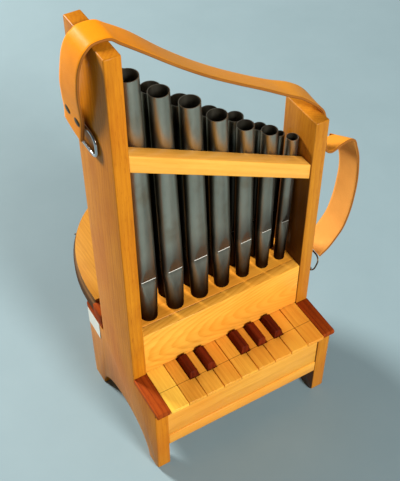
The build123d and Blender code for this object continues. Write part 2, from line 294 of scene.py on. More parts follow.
def tan_leather(name, face, shade, gloss, grain=1.0, painted_inside_shade=False, painted_span_shade=False, fold_shading=False):
    """Smooth tanned leather with a fine pebble, long soft creases and darker patches of wear. rubbed paints
    shade on the flesh side where it lies against the left board; worn paints duller, darker shade on the
    strap's face over the pipes; folded paints shade in the valleys between pleats and highlights on their
    crests."""
    f = Finish(name)
    x, y, z = f.place()
    spot = f.vector(x, y, z)
    cells = {"Vector": spot, "Scale": 1400.0}
    pebble = f.add("ShaderNodeTexVoronoi", {"feature": "DISTANCE_TO_EDGE"}, cells)
    cloud = f.noise(spot, 28.0, 4.0, 0.6)
    fine = f.noise(spot, 700.0, 3.0, 0.6)
    crease = f.noise(f.vector(x * 30.0, y * 160.0, z * 30.0), 1.0, 3.0)
    colour = f.mix((cloud * 1.3 - 0.25 + (fine - 0.5) * 0.5).clamp(), face, shade)
    # painted shade: the flesh side darkens where it lies close against the left board
    if painted_inside_shade:
        colour = f.mix(1.0 - (x - case_middle).smooth(*inside_shade_band), colour, (0.30, 0.15, 0.055))
    # painted shade: the face over the pipes and the right side is duller and darker
    if painted_span_shade:
        colour = f.mix((x - case_middle).smooth(*span_shade_band) * 0.8, colour, (0.66, 0.27, 0.03))
    if fold_shading:
        # painted shade in the pleats' valleys and a painted highlight on their crests
        pleat = f.add("ShaderNodeAttribute", {"attribute_name": "pleat"}, {}, "Fac")
        colour = f.mix(pleat.smooth(0.95, 1.5) * 0.85, colour, [c * 0.22 for c in shade])
        crest = pleat.smooth(0.2, 0.4) * (1.0 - pleat.smooth(0.5, 0.9))
        colour = f.mix(crest * 0.6, colour, [c * 1.9 for c in face])
    rough = gloss + (fine - 0.5) * 0.14 + (cloud - 0.5) * 0.1
    height = pebble.smooth(0.0, 0.25) * 0.35 + fine * 0.35 + crease.smooth(0.55, 0.72) * -0.4
    f.set(Base_Color=colour, Roughness=rough, Normal=f.bump(height, 0.22 * grain, 0.0003))
    f.set(Specular_IOR_Level=0.05)
    return f.material


def bright_metal(name, colour, gloss):
    """Polished fitting metal with fine scratches and slight dulling."""
    f = Finish(name)
    x, y, z = f.place()
    spot = f.vector(x, y, z)
    haze = f.noise(spot, 180.0, 3.0)
    scratch = f.noise(f.vector(x * 2200.0, y * 300.0, z * 300.0), 1.0, 2.0)
    tone = f.mix(haze * 0.6, colour, [c * 0.72 for c in colour])
    f.set(Base_Color=tone, Metallic=1.0, Roughness=gloss + haze * 0.1 + (scratch - 0.5) * 0.06)
    f.set(Normal=f.bump(scratch, 0.06, 0.0001))
    return f.material


def paper(name):
    """A blank scrap of white paper, slightly uneven."""
    f = Finish(name)
    x, y, z = f.place()
    spot = f.vector(x, y, z)
    fibre = f.noise(spot, 900.0, 4.0)
    cloud = f.noise(spot, 60.0, 2.0)
    tone = f.mix(cloud, (0.80, 0.80, 0.72), (0.68, 0.70, 0.62))
    f.set(Base_Color=tone, Roughness=0.75 + (fibre - 0.5) * 0.2)
    f.set(Normal=f.bump(fibre + cloud, 0.2, 0.0003))
    return f.material


rail_low, rail_high = case_box("pipe_rail")
rail_height = 19.0
rail_slope = atan((rail_high[2] - rail_low[2] - rail_height) / (2 * inner))
honey_light, honey_dark = (0.59, 0.215, 0.010), (0.35, 0.098, 0.005)
left_face = case_middle - outer * MM
right_inner_face = case_middle + inner * MM
head_line = uprights_front - 29.8 * MM
key_left = case_middle - inner * MM
key_pitch = 22.0 * MM
finishes = {
    "side": wood("side board wood", honey_light, honey_dark, "z", (left_face - 0.11, 0.02), (0.02, 0.01),
                 rings=300.0, wobble=0.004, contrast=0.18, pores=0.42, seed=2.0, polish=0.03),
    "right_side": wood("right side board wood", (0.55, 0.215, 0.014), (0.33, 0.10, 0.006), "z",
                       (case_middle + 0.2, 0.03), (0.015, 0.01), rings=300.0, wobble=0.004, contrast=0.18,
                       pores=0.42, seed=8.0, painted_low_shade=(right_inner_face, 0.27, 0.41)),
    "name": wood("name board wood", (0.95, 0.46, 0.060), (0.72, 0.27, 0.020), "x",
                 (uprights_front - 0.028, 0.150), (-0.24, 0.03), rings=240.0, wobble=0.006, contrast=0.42,
                 pores=0.15, seed=5.0),
    "toe": wood("toe board wood", (0.80, 0.34, 0.035), (0.52, 0.19, 0.014), "x", (0.02, -0.03), (0.02, 0.03),
                rings=190.0, wobble=0.008, contrast=0.3, seed=11.0),
    "rail": wood("rail wood", (0.90, 0.445, 0.072), (0.70, 0.30, 0.032), "x", (0.05, 0.2), (0.0, 0.02),
                 rings=240.0, wobble=0.004, contrast=0.2, seed=4.0, slope=rail_slope),
    "slip": wood("key slip wood", (0.82, 0.395, 0.055), (0.60, 0.23, 0.018), "x", (0.1, 0.02), (0.02, 0.02),
                 rings=220.0, wobble=0.006, contrast=0.25, seed=6.0),
    "inside": wood("inner board wood", honey_light, honey_dark, "x", (0.05, -0.02), (0.02, 0.05),
                   rings=200.0, seed=14.0),
    "natural": wood("natural key wood", (0.88, 0.425, 0.050), (0.61, 0.210, 0.017), "y", (0.05, 0.09),
                    (0.03, 0.02), rings=240.0, wobble=0.004, contrast=0.2, pores=0.12, gloss=0.26,
                    plank=("x", key_pitch, key_left), score=("y", (head_line,)), seed=5.0),
    # painted highlight: the lowest natural key's wood is made paler all over
    "pale_natural": wood("lowest key wood", (1.0, 0.60, 0.075), (0.78, 0.34, 0.032), "y", (0.05, 0.09),
                         (0.03, 0.02), rings=240.0, wobble=0.004, contrast=0.2, pores=0.12, gloss=0.26,
                         score=("y", (head_line,)), seed=5.0),
    "mahogany": wood("mahogany", (0.36, 0.066, 0.008), (0.15, 0.020, 0.004), "y", (0.3, 0.06), (0.02, 0.01),
                     rings=170.0, wobble=0.006, contrast=0.4, pores=0.7, gloss=0.5, seed=9.0, polish=0.0),
    "sharp": wood("sharp key wood", (0.17, 0.022, 0.005), (0.05, 0.007, 0.003), "y", (0.3, 0.06),
                  (0.02, 0.01), rings=190.0, wobble=0.004, contrast=0.4, pores=0.6, gloss=0.24,
                  plank=("x", key_pitch, key_left + key_pitch / 2), seed=7.0, polish=0.0),
    "plate": wood("bellows board wood", (0.66, 0.30, 0.038), (0.44, 0.165, 0.015), "y", (0.03, 0.06),
                  (0.03, 0.02), rings=330.0, wobble=0.006, contrast=0.2, pores=0.3, seed=12.0),
    "pipe": pipe_metal(),
    "strap": tan_leather("strap leather", (1.0, 0.335, 0.010), (0.80, 0.225, 0.006), 0.42, painted_span_shade=True),
    "edge": tan_leather("strap cut edge", (0.36, 0.13, 0.02), (0.22, 0.07, 0.012), 0.5),
    "suede": tan_leather("strap flesh side", (0.82, 0.37, 0.078), (0.63, 0.26, 0.05), 0.75, 2.0,
                         painted_inside_shade=True),
    "fold": tan_leather("bellows leather", (0.20, 0.10, 0.035), (0.10, 0.045, 0.016), 0.55, 2.0,
                        fold_shading=True),
    "chrome": bright_metal("bright fitting metal", (0.50, 0.50, 0.50), 0.06),
    "brass": bright_metal("dark screw metal", (0.20, 0.15, 0.09), 0.35),
    "rivet": bright_metal("old rivet", (0.08, 0.055, 0.03), 0.45),
    "paper": paper("blank paper"),
}


# Mesh helpers

same_place = 1e-6
flat_angle, arris_angle = radians(0.5), radians(32.0)


def holding(name, data):
    """A passing object that carries modifiers."""
    holder = bpy.data.objects.new(name, data)
    bpy.context.scene.collection.objects.link(holder)
    return holder


def applied(holder):
    """The plain mesh that a passing object's modifiers make. The object goes."""
    graph = bpy.context.evaluated_depsgraph_get()
    mesh = bpy.data.meshes.new_from_object(holder.evaluated_get(graph))
    bpy.data.objects.remove(holder)
    return mesh


def finished(name, mesh, material, body="case", replaces=(), smooth_angle=35.0):
    """A piece from a mesh in the shared frame: shading, material and body, with the CAD parts it replaces
    hidden.
    """
    piece = bpy.data.objects.new(name, mesh)
    bpy.context.scene.collection.objects.link(piece)
    mesh.shade_smooth()
    mesh.set_sharp_from_angle(angle=radians(smooth_angle))
    for one in material if isinstance(material, tuple) else (material,):
        mesh.materials.append(finishes[one])
    if body:
        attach(piece, body)
    if replaces:
        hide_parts(*replaces)
    return piece


def mesh_from(name, bm):
    """A mesh from a bmesh, its doubled points joined and its faces turned outwards."""
    bmesh.ops.remove_doubles(bm, verts=bm.verts, dist=same_place)
    bmesh.ops.recalc_face_normals(bm, faces=bm.faces)
    mesh = bpy.data.meshes.new(name)
    bm.to_mesh(mesh)
    bm.free()
    return mesh


def softened(node, width):
    """A copy of a CAD node's mesh, its flat faces whole again and its arrises rounded over by width mm."""
    bm = bmesh.new()
    bm.from_mesh(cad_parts[node].data)
    bmesh.ops.remove_doubles(bm, verts=bm.verts, dist=same_place)
    bmesh.ops.dissolve_limit(bm, angle_limit=flat_angle, verts=bm.verts, edges=bm.edges)
    mesh = bpy.data.meshes.new(node + " rounded")
    bm.to_mesh(mesh)
    bm.free()
    holder = holding(node + "_rounding", mesh)
    rounding = holder.modifiers.new("rounding", "BEVEL")
    rounding.width, rounding.segments = width * MM, 2
    rounding.limit_method, rounding.angle_limit = "ANGLE", arris_angle
    rounding.use_clamp_overlap = True
    shaped = applied(holder)
    bpy.data.meshes.remove(mesh)
    return shaped


board_looks = {
    "left_side_board": ("side", 1.2), "right_side_board": ("right_side", 1.2),
    "name_board": ("name", 0.8), "toe_board": ("toe", 0.8), "pipe_rail": ("rail", 0.9),
    "key_slip": ("slip", 0.8), "lower_rail": ("slip", 0.9), "bottom_board": ("inside", 0.8),
    "back_board": ("inside", 0.8), "base_top_board": ("inside", 0.8), "chest_back": ("inside", 0.8),
    "key_pivot_rail": ("inside", 0.8), "left_key_cheek": ("mahogany", 0.8),
    "right_key_cheek": ("mahogany", 0.8), "bellows_block": ("mahogany", 0.9),
}


def dress_boards():
    """Each board takes its own wood and its own rounding in mm."""
    for node, (look, width) in board_looks.items():
        finished(node + "_dressed", softened(node, width), look, replaces=[node])


def dress_keys():
    """Each key rides on its own lever. The lowest natural is paler all over: a painted highlight."""
    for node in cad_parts:
        if node.startswith("natural_key"):
            look, width = "pale_natural" if node == "natural_key_1" else "natural", 0.5
        elif node.startswith("sharp_key"):
            look, width = "sharp", 0.6
        else:
            continue
        finished(node + "_dressed", softened(node, width), look, node + "_lever", replaces=[node])


def ring_mesh(bm, rings):
    """Faces between closed rings of equal length."""
    rows = [[bm.verts.new(p) for p in ring] for ring in rings]
    count = len(rows[0])
    for one, two in zip(rows, rows[1:]):
        for i in range(count):
            j = (i + 1) % count
            bm.faces.new((one[i], one[j], two[j], two[i]))
    return rows


# Shapes that follow a rule are written as Geometry Nodes trees

class Shape(Tree):
    """A Geometry Nodes tree with named inputs."""

    def __init__(self, name, *inputs):
        group = bpy.data.node_groups.new(name, "GeometryNodeTree")
        super().__init__(group)
        self.group = group
        group.interface.new_socket("Geometry", in_out="INPUT", socket_type="NodeSocketGeometry")
        for one in inputs:
            group.interface.new_socket(one, in_out="INPUT", socket_type="NodeSocketFloat")
        group.interface.new_socket("Geometry", in_out="OUTPUT", socket_type="NodeSocketGeometry")
        entry = self.tree.nodes.new("NodeGroupInput")
        self.given = {socket.name: Sock(self, socket) for socket in entry.outputs if socket.name}

    def end(self, geometry, look):
        """The last nodes of every tree: instances made real and the material set."""
        real = self.add("GeometryNodeRealizeInstances", {}, {"Geometry": geometry})
        dressed = self.add("GeometryNodeSetMaterial", {}, {"Geometry": real, "Material": finishes[look]})
        exit_node = self.tree.nodes.new("NodeGroupOutput")
        self.join(exit_node.inputs["Geometry"], dressed)

    def moved(self, geometry, place):
        return self.add("GeometryNodeSetPosition", {}, {"Geometry": geometry, "Position": place})

    def joined(self, *parts):
        node = self.tree.nodes.new("GeometryNodeJoinGeometry")
        for part in parts:
            self.tree.links.new(part.socket, node.inputs["Geometry"])
        return Sock(self, node.outputs["Geometry"])


def grown(shape, values, seed_data=None, wall=0.0):
    """The plain mesh that a shape's tree makes with the given inputs, with a wall's thickness if asked."""
    holder = holding("growing", seed_data or bpy.data.meshes.new("seed"))
    growth = holder.modifiers.new("growth", "NODES")
    growth.node_group = shape.group
    for item in shape.group.interface.items_tree:
        if item.in_out == "INPUT" and item.name in values:
            growth[item.identifier] = values[item.name]
    if wall:
        shell = holder.modifiers.new("wall", "SOLIDIFY")
        shell.thickness, shell.offset, shell.use_even_offset = wall, -1.0, True
    return applied(holder)


# Pipes: a foot, two pressed lips round a mouth, and an open body

pipe_wall = 0.7
pipe_places = (0.0, 0.193, 0.376, 0.545, 0.707, 0.861, 1.0)
mouth_rises = (61.0, 59.5, 61.3, 58.9, 55.3, 57.2, 57.9)
toe_shares = (0.93, 0.95, 0.93, 0.82, 0.82, 0.82, 0.9)
spread_shares = (1.22, 1.22, 1.14, 1.09, 1.14, 1.09, 1.08)
pipe_rows = {
    "front": {"y": 25.0, "widths": (19.0, 18.6, 19.2, 18.7, 16.2, 15.4, 11.8),
              "heights": (311.5, 284.7, 261.7, 235.2, 210.3, 192.2, 172.0),
              "leans": (-0.011, -0.026, -0.029, -0.031, -0.013, 0.0, 0.029)},
    "rear": {"y": 44.4, "widths": (18.6, 18.0, 18.4, 16.8, 15.8, 12.4, 8.6),
             "heights": (300.0, 275.4, 250.4, 225.2, 207.1, 182.9, 162.9),
             "leans": (-0.011, -0.021, -0.03, -0.021, -0.012, 0.007, 0.024)},
}
first_pipe_x, last_pipe_x = -79.3, 87.0
back_lean = 0.011
pipe_seat = 0.2
toe_board_top = case_box("toe_board")[1][2]

# shares of a pipe's width, and of its radius for along
along_share, press_share, lower_share, upper_share, cut_share = 0.95, 0.135, 1.5, 1.05, 0.055
# where the sheet's rows go from foot to lower lip, mouth, upper lip and body
row_shares = (0.0, 0.14, 0.41, 0.455, 0.75, 1.0)
sheet_columns, sheet_rows = 49, 45
mouth_half, lip_half, cut_depth = 0.66, 0.69, 0.45
languid_gap, languid_drop, bead_radius = 0.0004, 0.0002, 0.0005


def pipe_shape():
    """A sheet of rows up the pipe, bent round and pressed flat at the lips, with its mouth cut out."""
    s = Shape("organ pipe", "Height", "Radius", "Toe", "Across", "Along", "Mouth", "Press", "Lower", "Upper",
              "Cut")
    g = s.given
    size = {"Size X": 1.0, "Size Y": 1.0, "Vertices X": sheet_columns, "Vertices Y": sheet_rows}
    sheet = s.add("GeometryNodeMeshGrid", {}, size)
    u, v, _ = s.split(s.add("GeometryNodeInputPosition", {}, {}))
    turn = (u + 0.5) * (2 * pi)
    up = v + 0.5
    low = g["Mouth"] - g["Lower"]
    sill = g["Mouth"] + g["Cut"]
    high = sill + g["Upper"]
    start, foot_end, lip_end, cut_end, upper_end, top = row_shares
    z = up.span(start, foot_end) * low + up.span(foot_end, lip_end) * g["Lower"]
    z = z + up.span(lip_end, cut_end) * g["Cut"]
    z = z + up.span(cut_end, upper_end) * g["Upper"] + up.span(upper_end, top) * (g["Height"] - high)
    below = (z / g["Mouth"]).clamp()
    above = ((z - g["Mouth"]) / (g["Height"] - g["Mouth"])).clamp()
    across = g["Toe"] + (g["Across"] - g["Toe"]) * below + (g["Radius"] - g["Across"]) * above
    along = g["Toe"] + (g["Along"] - g["Toe"]) * below + (g["Radius"] - g["Along"]) * above
    x = across * turn.math("SINE")
    y = along * turn.math("COSINE")
    pressed = ((z - low) / g["Lower"]).clamp().math("MINIMUM", ((high - z) / g["Upper"]).clamp())
    y = y.math("MAXIMUM", g["Press"] * pressed - along)
    tube = s.moved(sheet, s.vector(x, y, z))
    px, py, pz = s.split(s.add("GeometryNodeInputPosition", {}, {}))
    off_middle = (pz - g["Mouth"] - g["Cut"] * 0.5).math("ABSOLUTE")
    in_mouth = off_middle.math("LESS_THAN", g["Cut"] * cut_depth)
    in_chord = px.math("ABSOLUTE").math("LESS_THAN", g["Across"] * mouth_half)
    at_front = py.math("LESS_THAN", 0.0)
    tube = s.add("GeometryNodeDeleteGeometry", {"domain": "FACE"},
                 {"Geometry": tube, "Selection": in_mouth * in_chord * at_front})
    tube = s.add("GeometryNodeMergeByDistance", {}, {"Geometry": tube, "Distance": same_place})
    languid = s.add("GeometryNodeMeshCircle", {"fill_type": "NGON"}, {"Vertices": 40, "Radius": 1.0})
    lx, ly, _ = s.split(s.add("GeometryNodeInputPosition", {}, {}))
    half = g["Along"] - g["Press"] * 0.5
    deep = ly * (half - languid_gap) + g["Press"] * 0.5
    languid = s.moved(languid, s.vector(lx * (g["Across"] - languid_gap), deep, g["Mouth"] - languid_drop))
    edge = {"Start": s.vector(g["Across"] * -lip_half, g["Press"] - g["Along"], g["Mouth"]),
            "End": s.vector(g["Across"] * lip_half, g["Press"] - g["Along"], g["Mouth"])}
    line = s.add("GeometryNodeCurvePrimitiveLine", {}, edge)
    bead = s.add("GeometryNodeCurvePrimitiveCircle", {}, {"Resolution": 10, "Radius": bead_radius})
    rim = s.add("GeometryNodeCurveToMesh", {}, {"Curve": line, "Profile Curve": bead, "Fill Caps": True})
    rim = s.add("GeometryNodeStoreNamedAttribute", {}, {"Geometry": rim, "Name": "lip", "Value": 1.0})
    s.end(s.joined(tube, languid, rim), "pipe")
    return s


def dress_pipes():
    """Each pipe stands on the toe board with its own width, height and lean."""
    shape = pipe_shape()
    for row, data in pipe_rows.items():
        for i, (width, height, lean) in enumerate(zip(data["widths"], data["heights"], data["leans"])):
            radius = width / 2
            toe = toe_shares[i] * radius
            sizes = {"Height": height, "Radius": radius, "Toe": toe, "Across": spread_shares[i] * radius,
                     "Along": along_share * radius, "Mouth": mouth_rises[i], "Press": press_share * width,
                     "Lower": lower_share * width, "Upper": upper_share * width, "Cut": cut_share * width}
            mesh = grown(shape, {name: size * MM for name, size in sizes.items()}, wall=pipe_wall * MM)
            x = first_pipe_x + pipe_places[i] * (last_pipe_x - first_pipe_x)
            foot = at(x, data["y"], toe_board_top + pipe_seat + toe * hypot(lean, back_lean))
            turn = Matrix.Rotation(atan(lean), 4, "Y") @ Matrix.Rotation(-atan(back_lean), 4, "X")
            mesh.transform(Matrix.Translation(foot) @ turn)
            node = f"{row}_pipe_{i + 1}"
            finished(node + "_dressed", mesh, (), replaces=[node], smooth_angle=28.0)


# Strap: stations of x, y, z along its middle and the turn of its width about its run, in degrees

strap_width = 32.5
strap_thickness = 2.6
strap_route = (
    (-121.6, 63.9, 430.4, 0.9), (-122.1, 59.7, 447.4, 2.4), (-124.2, 54.4, 465.4, 3.6),
    (-126.5, 48.9, 484.2, 2.1), (-127.0, 43.9, 502.3, 0.0), (-126.2, 39.6, 518.7, -0.9),
    (-123.5, 36.3, 530.7, -0.9), (-119.0, 34.8, 538.0, -1.5), (-112.4, 34.8, 541.9, -1.5),
    (-99.0, 34.6, 541.6, -1.2), (-89.7, 33.8, 535.4, 0.9), (-70.1, 34.0, 520.5, 2.4),
    (-40.2, 34.6, 494.9, -1.8), (-9.9, 35.4, 471.5, -4.8), (20.0, 36.2, 451.2, -7.2),
    (50.1, 36.5, 432.6, -7.8), (75.0, 35.7, 417.9, -5.4), (92.1, 33.7, 409.8, -2.1),
    (102.5, 31.7, 403.2, 1.5), (110.3, 29.6, 396.6, 3.3), (115.3, 26.6, 389.8, 4.0),
    (117.1, 23.6, 381.0, 3.0), (116.9, 22.0, 367.0, 0.0), (116.9, 21.0, 353.0, -4.5),
    (118.9, 20.2, 341.6, -5.0), (125.0, 19.6, 334.5, -14.0), (134.0, 19.5, 333.2, -23.0),
    (143.4, 19.7, 335.2, -26.0), (150.5, 19.8, 335.8, -25.0), (154.6, 20.0, 328.9, -20.1),
    (160.5, 20.0, 316.0, -12.0), (165.0, 20.0, 300.0, -3.0), (167.3, 20.0, 279.0, 0.0),
    (166.5, 20.0, 256.0, 0.0), (164.0, 20.0, 235.0, 0.0), (158.5, 20.0, 213.9, 0.0),
    (151.0, 20.0, 201.1, 0.0), (140.5, 20.0, 188.0, 0.0), (129.0, 20.0, 180.0, 0.0),
)
lap_top, rivet_line = 463.0, 453.0
lap_narrower, lap_thickness, lap_gap = 1.0, 1.3, 0.1
strap_curl = 0.35
edge_round = 0.7
face_strips = 12


def curve_through(points, steps):
    """A Catmull-Rom curve through vectors of any length."""
    count = len(points)
    out = []
    for i in range(count - 1):
        p0, p1 = points[max(i - 1, 0)], points[i]
        p2, p3 = points[i + 1], points[min(i + 2, count - 1)]
        for k in range(steps):
            t = k / steps
            out.append([0.5 * (2 * b + (c - a) * t + (2 * a - 5 * b + 4 * c - d) * t * t
                               + (3 * b - a - 3 * c + d) * t ** 3) for a, b, c, d in zip(p0, p1, p2, p3)])
    out.append(list(points[-1]))
    return out


def strap_frames(steps=6):
    """Place, width way and outward way at close steps along the strap, in case millimetres."""
    spots = curve_through([list(p) for p in strap_route], steps)
    frames = []
    for i, spot in enumerate(spots):
        before, after = Vector(spots[max(i - 1, 0)][:3]), Vector(spots[min(i + 1, len(spots) - 1)][:3])
        run = (after - before).normalized()
        wide = (Vector((0, 1, 0)) - run * run.y).normalized()
        wide.rotate(Matrix.Rotation(radians(spot[3]), 3, run))
        frames.append((Vector(spot[:3]), wide, run.cross(wide)))
    return frames


def band(name, frames, width, inside, outside, curl=0.0):
    """A flat band along frames between two offsets: its outer face, its inner face and its cut edges."""
    half, edge = width / 2, min(edge_round, abs(outside - inside) / 3)
    flat = 2 * half - 2 * edge
    across = [-half + edge + flat * k / face_strips for k in range(face_strips + 1)]
    section = [(w, outside) for w in across] + [(half, outside - edge), (half, inside + edge)]
    section += [(w, inside) for w in reversed(across)] + [(-half, inside + edge), (-half, outside - edge)]
    bm = bmesh.new()
    rings = []
    for place, wide, out in frames:
        rings.append([at(*(place + wide * w + out * (t - curl * (w / half) ** 2))) for w, t in section])
    rows = ring_mesh(bm, rings)
    bm.faces.new(list(reversed(rows[0])))
    bm.faces.new(rows[-1])
    bm.faces.ensure_lookup_table()
    count = len(section)
    inner_first = face_strips + 3
    for index, face in enumerate(bm.faces):
        k = index % count
        if k < face_strips:
            face.material_index = 0
        elif inner_first <= k < inner_first + face_strips:
            face.material_index = 1
        else:
            face.material_index = 2
    for face in bm.faces[-2:]:
        face.material_index = 2
    return mesh_from(name, bm)


def left_end(frames, top):
    """The frames of the strap's left end below a height."""
    return [f for f in frames if f[0].x < 0 and f[0].z < top]


def strap():
    """The strap and the lap of its left end, which is turned round the ring."""
    frames = strap_frames()
    half = strap_thickness / 2
    mesh = band("strap", frames, strap_width, -half, half, strap_curl)
    finished("shoulder_strap_leather", mesh, ("strap", "suede", "edge"), replaces=["shoulder_strap"],
             smooth_angle=50.0)
    far = -half - lap_gap
    lap = left_end(frames, lap_top)
    mesh = band("strap lap", lap, strap_width - lap_narrower, far - lap_thickness, far)
    finished("strap_lap", mesh, ("strap", "suede", "edge"), smooth_angle=50.0)


# Metal fittings: wires along a path and round heads on points, grown by two trees

def wire_shape(look):
    """A round wire along a curve."""
    s = Shape("wire of " + look, "Radius")
    ring = s.add("GeometryNodeCurvePrimitiveCircle", {}, {"Resolution": 14, "Radius": s.given["Radius"]})
    run = {"Curve": s.given["Geometry"], "Profile Curve": ring, "Fill Caps": True}
    s.end(s.add("GeometryNodeCurveToMesh", {}, run), look)
    return s


def head_shape(look):
    """A round rivet head on each point, facing along its normal."""
    s = Shape("heads of " + look, "Radius", "Rise")
    dome = s.add("GeometryNodeMeshUVSphere", {}, {"Segments": 20, "Rings": 10, "Radius": 1.0})
    scale = s.vector(s.given["Radius"], s.given["Radius"], s.given["Rise"])
    normal = s.add("GeometryNodeInputNormal", {}, {})
    turn = s.add("FunctionNodeAlignRotationToVector", {"axis": "Z"}, {"Vector": normal})
    heads = s.add("GeometryNodeInstanceOnPoints", {},
                  {"Points": s.given["Geometry"], "Instance": dome, "Rotation": turn, "Scale": scale})
    s.end(heads, look)
    return s


def path(points, closed=False):
    """A poly curve through case places."""
    data = bpy.data.curves.new("path", "CURVE")
    data.dimensions = "3D"
    line = data.splines.new("POLY")
    line.points.add(len(points) - 1)
    for point, place in zip(line.points, points):
        point.co = (*at(*place), 1.0)
    line.use_cyclic_u = closed
    return data


def oval(middle, tilt, length, height, corner, steps=8):
    """Case places round a long rounded loop with its length along Y, its top tilted outward."""
    places = []
    lean = radians(tilt)
    for k, (sy, sz) in enumerate(((1, 1), (-1, 1), (-1, -1), (1, -1))):
        for j in range(steps + 1):
            turn = pi / 2 * (k + j / steps)
            y = sy * (length / 2 - corner) + corner * cos(turn)
            up = sz * (height / 2 - corner) + corner * sin(turn)
            places.append((middle[0] + up * sin(lean), middle[1] + y, middle[2] + up * cos(lean)))
    return places


tiny = 1e-5
triangle = ((1.0, 0.0), (-0.5, 0.87), (-0.5, -0.87))


def heads_at(places):
    """A mesh with one tiny triangle at each place, facing along the given way. Its three corners each
    grow a head, so close together that they show as one."""
    bm = bmesh.new()
    for place, way in places:
        way = Vector(way).normalized()
        side = way.orthogonal().normalized() * tiny
        other = way.cross(side)
        bm.faces.new([bm.verts.new(at(*place) + (a * side + b * other)) for a, b in triangle])
    mesh = bpy.data.meshes.new("head places")
    bm.to_mesh(mesh)
    bm.free()
    return mesh


left_ring = {"middle": (-116.8, 50.0, 431.5), "tilt": 0.0, "length": 45.0, "height": 23.0, "corner": 9.0}
right_ring = {"middle": (123.75, 20.0, 169.4), "tilt": 23.0, "length": 36.0, "height": 21.3, "corner": 8.0}
staple_steps = ((-114.8, 70.2), (-117.6, 70.2), (-119.2, 71.2), (-119.4, 72.5), (-119.2, 73.8),
                (-117.6, 74.8), (-114.8, 74.8))
eye_middle, eye_radius, eye_steps = (119.6, 8.0, 159.6), 2.6, 20
stem_ends = (114.8, 117.1)
wire_radius = {"left ring": 1.8, "staple": 0.8, "right ring": 0.9, "screw": 0.85}
rivet_radius, rivet_rise, rivet_offsets = 4.6, 0.8, (-9.0, 7.0)


def fittings():
    """The ring and staple at the left, the ring and screw eye at the right, and two rivets."""
    chrome, dark = wire_shape("chrome"), wire_shape("brass")

    def wire(name, shape, radius, line, replaces=()):
        mesh = grown(shape, {"Radius": wire_radius[radius] * MM}, line)
        finished(name, mesh, (), replaces=replaces)

    wire("left_ring", chrome, "left ring", path(oval(**left_ring), True), ["left_strap_fitting"])
    staple = [(x, y, left_ring["middle"][2]) for x, y in staple_steps]
    wire("left_staple", dark, "staple", path(staple))
    wire("right_ring", dark, "right ring", path(oval(**right_ring), True), ["right_strap_fitting"])
    x, y, z = eye_middle
    turns = [pi + 2 * pi * k / eye_steps for k in range(eye_steps)]
    eye = [(x + eye_radius * cos(a), y, z + eye_radius * sin(a)) for a in turns]
    wire("right_screw_eye", chrome, "screw", path(eye, True))
    wire("right_screw_stem", chrome, "screw", path([(end, y, z) for end in stem_ends]))
    place, wide, out = left_end(strap_frames(), rivet_line)[-1]
    spots = [(place + wide * w + out * strap_thickness / 2, out) for w in rivet_offsets]
    rivet_size = {"Radius": rivet_radius * MM, "Rise": rivet_rise * MM}
    rivets = grown(head_shape("rivet"), rivet_size, heads_at(spots))
    finished("strap_rivets", rivets, (), smooth_angle=60.0)


# Bellows: a plate with a peg over pleated leather, hinged at a red brown block

fold_low, fold_high = case_box("bellows_folds")
bellows_half = 110.8
bellows_start = 97.0
bellows_middle = 112.8
bellows_back = 253.0
hinge_gap = 0.6
pleat_depth, leather_thickness, leather_outside = 1.4, 0.9, 0.2
plate_edge, slab_round, plate_round = 0.6, 0.6, 0.9
nearly_upright = 0.3
base_back = case_box("left_side_board")[1][1]


def bellows_outline(inset, steps=56):
    """Case x and y round the bellows, from the hinge's left end round the back to its right end."""
    half, deep = bellows_half - inset, bellows_back - inset - bellows_middle
    turns = [pi * k / steps for k in range(steps + 1)]
    curve = [(-half * cos(a), bellows_middle + deep * sin(a)) for a in turns]
    start = bellows_start + hinge_gap
    return [(-half, start)] + curve + [(half, start)]


def pleat_shape():
    """Zigzag leather along the bellows' outline. pleat is 0.5 on a crest and 1.5 in a valley."""
    s = Shape("pleats", "Height", "Depth")
    line = s.add("GeometryNodeCurvePrimitiveLine", {}, {"Start": (0.0, 0.0, 0.0), "End": (1.0, 0.0, 0.0)})
    line = s.add("GeometryNodeResampleCurve", {}, {"Curve": line, "Count": 13})
    index = s.add("GeometryNodeInputIndex", {}, {})
    step = index.math("MODULO", 4.0)
    swing = (step - 2.0).math("ABSOLUTE") - 1.0
    x, y, z = s.split(s.add("GeometryNodeInputPosition", {}, {}))
    bent = s.moved(line, s.vector(swing * s.given["Depth"], (x - 0.5) * s.given["Height"], 0.0))
    marks = {"Geometry": bent, "Name": "pleat", "Value": 1.0 - swing * 0.5}
    bent = s.add("GeometryNodeStoreNamedAttribute", {}, marks)
    sheet = s.add("GeometryNodeCurveToMesh", {}, {"Curve": s.given["Geometry"], "Profile Curve": bent})
    s.end(sheet, "fold")
    return s


def slab(name, outline, low, high):
    """A flat slab with the given outline of case x and y, between two heights, its arrises rounded."""
    bm = bmesh.new()
    face = bm.faces.new([bm.verts.new(at(x, y, low)) for x, y in outline])
    top = bmesh.ops.extrude_face_region(bm, geom=[face])
    lifted = [v for v in top["geom"] if isinstance(v, bmesh.types.BMVert)]
    bmesh.ops.translate(bm, verts=lifted, vec=(0.0, 0.0, (high - low) * MM))
    bmesh.ops.recalc_face_normals(bm, faces=bm.faces)
    flat = [e for e in bm.edges if abs(e.verts[0].co.z - e.verts[1].co.z) < same_place]
    bmesh.ops.bevel(bm, geom=flat, offset=slab_round * MM, segments=2, affect="EDGES", clamp_overlap=True)
    return mesh_from(name, bm)


